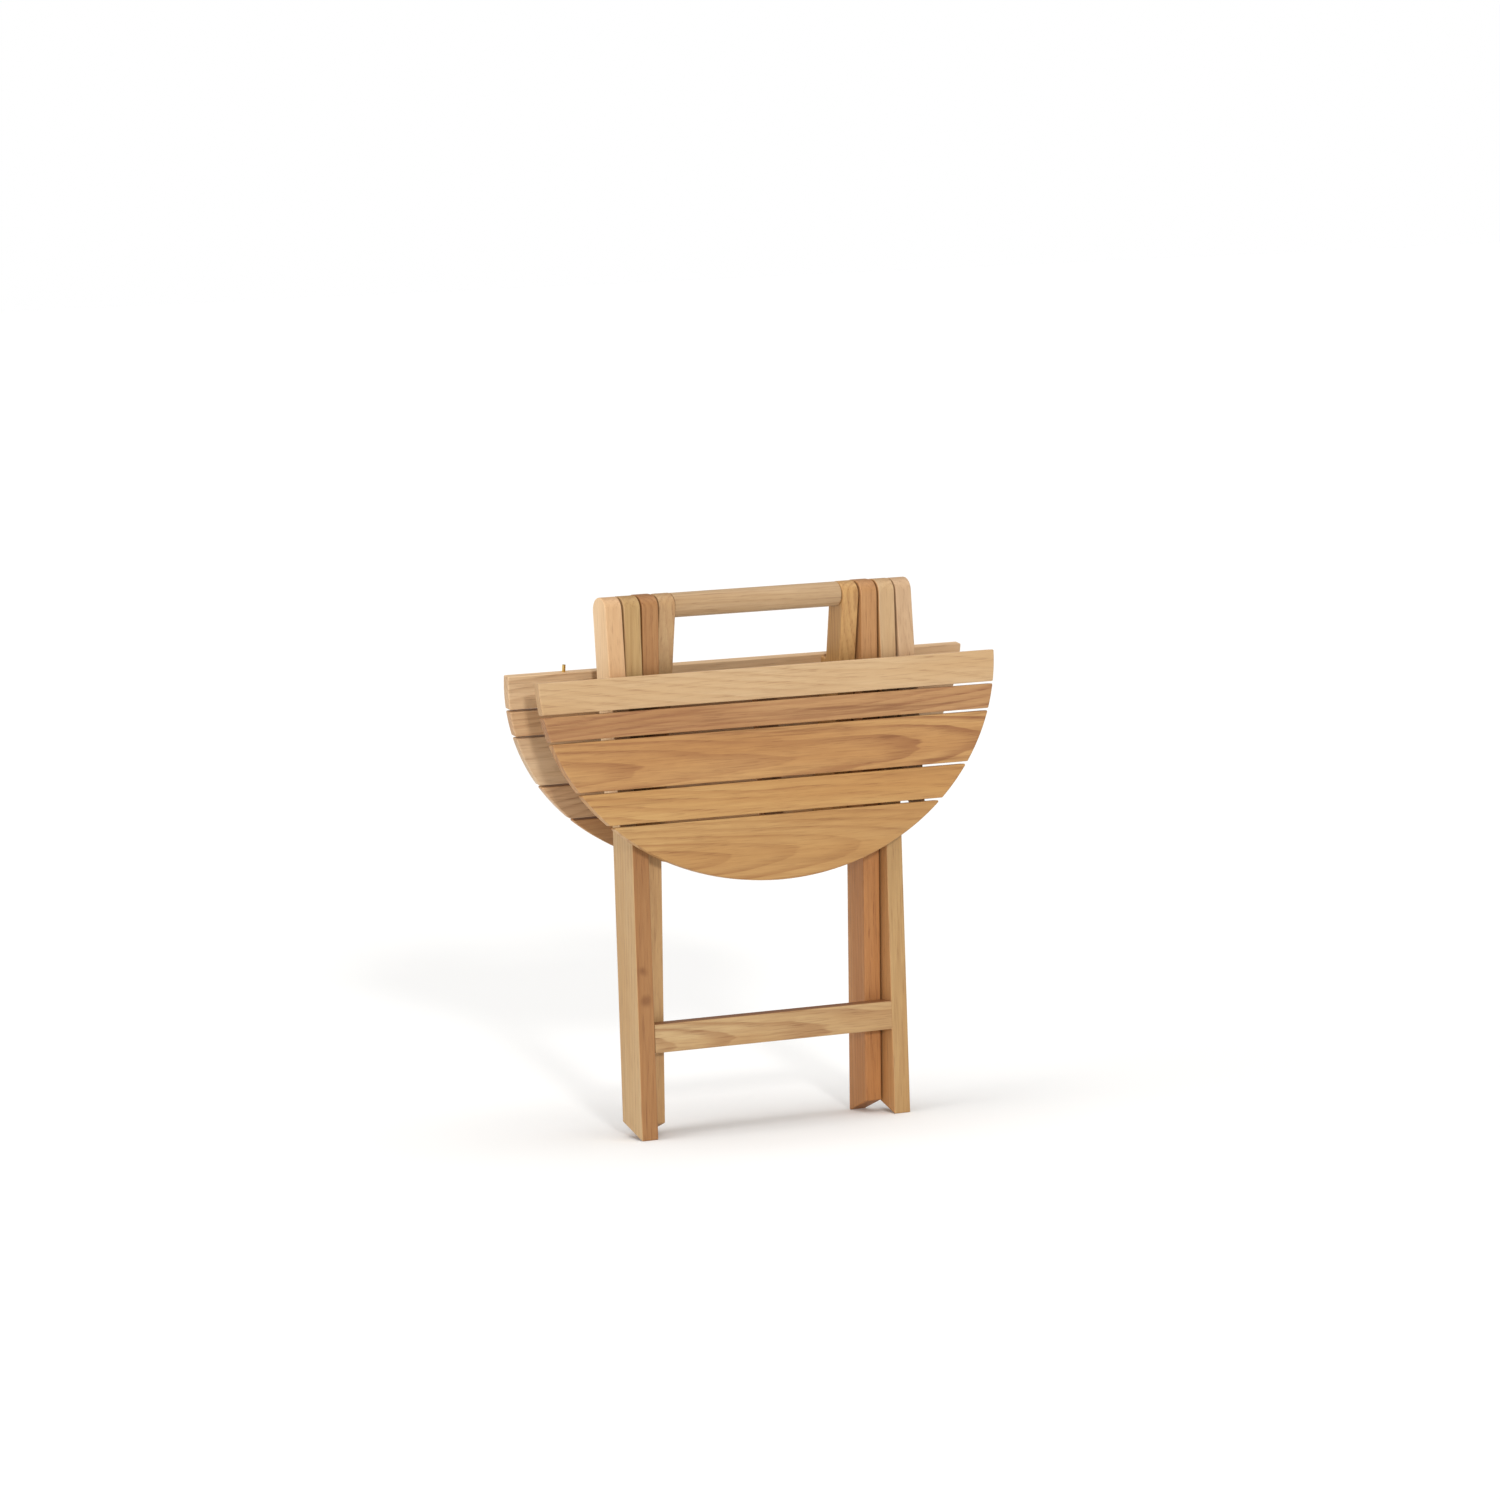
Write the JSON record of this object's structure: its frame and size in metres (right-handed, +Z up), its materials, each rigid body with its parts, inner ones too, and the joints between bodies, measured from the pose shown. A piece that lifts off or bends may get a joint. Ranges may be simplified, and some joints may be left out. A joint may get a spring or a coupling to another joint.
{
  "type": "folding tray table",
  "caption": "Folded wooden tray table: a slatted oval top in two hinged halves, legs that cross and bolt together, a stretcher rail and a round carrying handle between the leg heads.",
  "frame": {"origin": "on the floor, below the middle of the folded table's box", "axes": "+Z up, X along the carrying rod, -Y towards the half of the top that hangs on the outer legs"},
  "size_m": [0.5, 0.1228, 0.5263],
  "materials": {
    "slat_wood": "oiled hardwood with a straight grain along each slat",
    "leg_wood": "oiled hardwood with the grain along each leg",
    "batten_wood": "oiled hardwood with the grain along each batten",
    "rod_wood": "turned and oiled hardwood",
    "brass": "plain turned brass",
    "steel": "plain bright steel"
  },
  "bodies": {
    "outer_frame": {"outer_leg_left": "leg_wood", "outer_leg_right": "leg_wood", "stretcher": "leg_wood", "crossing_bolts": "steel", "crossing_nuts": "steel", "crossing_washers": "steel"},
    "inner_frame": {"inner_leg_left": "leg_wood", "inner_leg_right": "leg_wood", "handle_rod": "rod_wood", "rod_screws": "steel", "rod_washers": "steel"},
    "front_top": {"front_slat_1": "slat_wood", "front_slat_2": "slat_wood", "front_slat_3": "slat_wood", "front_slat_4": "slat_wood", "front_slat_5": "slat_wood", "front_batten_left": "batten_wood", "front_batten_right": "batten_wood", "front_centre_batten": "batten_wood", "front_slat_screws": "steel", "front_centre_screws": "steel", "guide_ferrules": "brass", "pivot_pins": "steel", "pivot_washers": "steel"},
    "back_top": {"back_slat_1": "slat_wood", "back_slat_2": "slat_wood", "back_slat_3": "slat_wood", "back_slat_4": "slat_wood", "back_slat_5": "slat_wood", "back_batten_left": "batten_wood", "back_batten_right": "batten_wood", "back_slat_screws": "steel", "guide_pins": "brass"}
  },
  "joints": [
    {"name": "leg_spread", "type": "hinge", "parent": "outer_frame", "child": "inner_frame", "pos_m": [0, -0.00696, 0.32914], "axis": [1, 0, 0], "range_deg": [0, 3]},
    {"name": "front_top_lift", "type": "hinge", "parent": "outer_frame", "child": "front_top", "pos_m": [0, -0.01895, 0.514], "axis": [-1, 0, 0], "range_deg": [0, 86.5]},
    {"name": "back_top_lift", "type": "hinge", "parent": "inner_frame", "child": "back_top", "pos_m": [0, -0.01895, 0.514], "axis": [1, 0, 0], "range_deg": [0, 80]}
  ]
}
